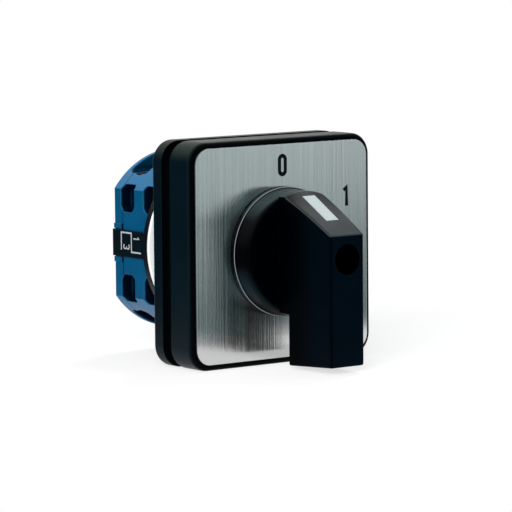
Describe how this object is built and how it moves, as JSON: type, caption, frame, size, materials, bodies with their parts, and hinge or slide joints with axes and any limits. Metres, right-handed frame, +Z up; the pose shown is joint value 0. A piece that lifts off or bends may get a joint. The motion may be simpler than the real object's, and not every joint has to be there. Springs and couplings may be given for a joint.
{
  "type": "rotary cam switch",
  "caption": "Panel-mounted rotary cam switch with a square brushed dial plate, a black grip handle with a white marker, and a blue contact stage behind.",
  "frame": {"origin": "where the switch axis meets the panel's front face, at the back of the mounting plate", "axes": "+Y along the switch axis into the panel, -Y to the front, +Z up with the dial's 0 at the top, +X to the right seen from the front"},
  "size_m": [0.048, 0.0619, 0.048],
  "materials": {
    "handle_black": "satin moulded, finely grained",
    "frame_black": "satin moulded",
    "gasket_black": "matt",
    "dial_aluminium": "brushed upright, clear lacquer",
    "marker_white": "semi-gloss",
    "insulator_white": "matt",
    "stage_black": "satin moulded",
    "stage_blue": "satin moulded",
    "label_black": "semi-gloss, printed white",
    "nylon": "natural moulded",
    "steel": "zinc plated",
    "spring_steel": "bright drawn",
    "contact_brass": "bright rolled"
  },
  "bodies": {
    "base": {"face_plate": "dial_aluminium", "bezel": "frame_black", "gasket": "gasket_black", "rear_plate": "frame_black", "insulating_disc": "insulator_white", "front_cover": "stage_black", "contact_stage": "stage_blue", "rear_cover": "stage_blue", "label_strip_left": "label_black", "label_strip_right": "label_black", "latch_housing": "stage_black", "detent_spring_left": "spring_steel", "detent_spring_right": "spring_steel", "terminals_front": "contact_brass", "terminals_rear": "contact_brass", "terminal_screws": "steel", "tie_bolts": "steel", "spring_front_top": "spring_steel", "spring_front_bottom": "spring_steel", "spring_rear_top": "spring_steel", "spring_rear_bottom": "spring_steel"},
    "rotor": {"handle": "handle_black", "indicator_insert": "marker_white", "handle_screw": "steel", "shaft": "steel", "star_wheel": "nylon", "cam_front": "nylon", "cam_rear": "nylon"},
    "contact_front_top": {"plunger_front_top": "nylon", "bridge_front_top": "contact_brass"},
    "contact_front_bottom": {"plunger_front_bottom": "nylon", "bridge_front_bottom": "contact_brass"},
    "contact_rear_top": {"plunger_rear_top": "nylon", "bridge_rear_top": "contact_brass"},
    "contact_rear_bottom": {"plunger_rear_bottom": "nylon", "bridge_rear_bottom": "contact_brass"}
  },
  "joints": [
    {"name": "handle_turn", "type": "hinge", "parent": "base", "child": "rotor", "pos_m": [0, 0, 0], "axis": [0, 1, 0], "range_deg": [0, 60], "deforming": ["detent_spring_left", "detent_spring_right"]},
    {"name": "contact_front_top_slide", "type": "slide", "parent": "base", "child": "contact_front_top", "axis": [0, 0, 1], "range_m": [-0.0015, 0], "deforming": ["spring_front_top"]},
    {"name": "contact_front_bottom_slide", "type": "slide", "parent": "base", "child": "contact_front_bottom", "axis": [0, 0, -1], "range_m": [-0.0015, 0], "deforming": ["spring_front_bottom"]},
    {"name": "contact_rear_top_slide", "type": "slide", "parent": "base", "child": "contact_rear_top", "axis": [0, 0, 1], "range_m": [-0.0015, 0], "deforming": ["spring_rear_top"]},
    {"name": "contact_rear_bottom_slide", "type": "slide", "parent": "base", "child": "contact_rear_bottom", "axis": [0, 0, -1], "range_m": [-0.0015, 0], "deforming": ["spring_rear_bottom"]}
  ],
  "couplings": [
    {"joint": "contact_front_top_slide", "follows": "handle_turn", "m_per_rad": -0.001432},
    {"joint": "contact_front_bottom_slide", "follows": "handle_turn", "m_per_rad": -0.001432},
    {"joint": "contact_rear_top_slide", "follows": "handle_turn", "m_per_rad": -0.001432},
    {"joint": "contact_rear_bottom_slide", "follows": "handle_turn", "m_per_rad": -0.001432}
  ]
}
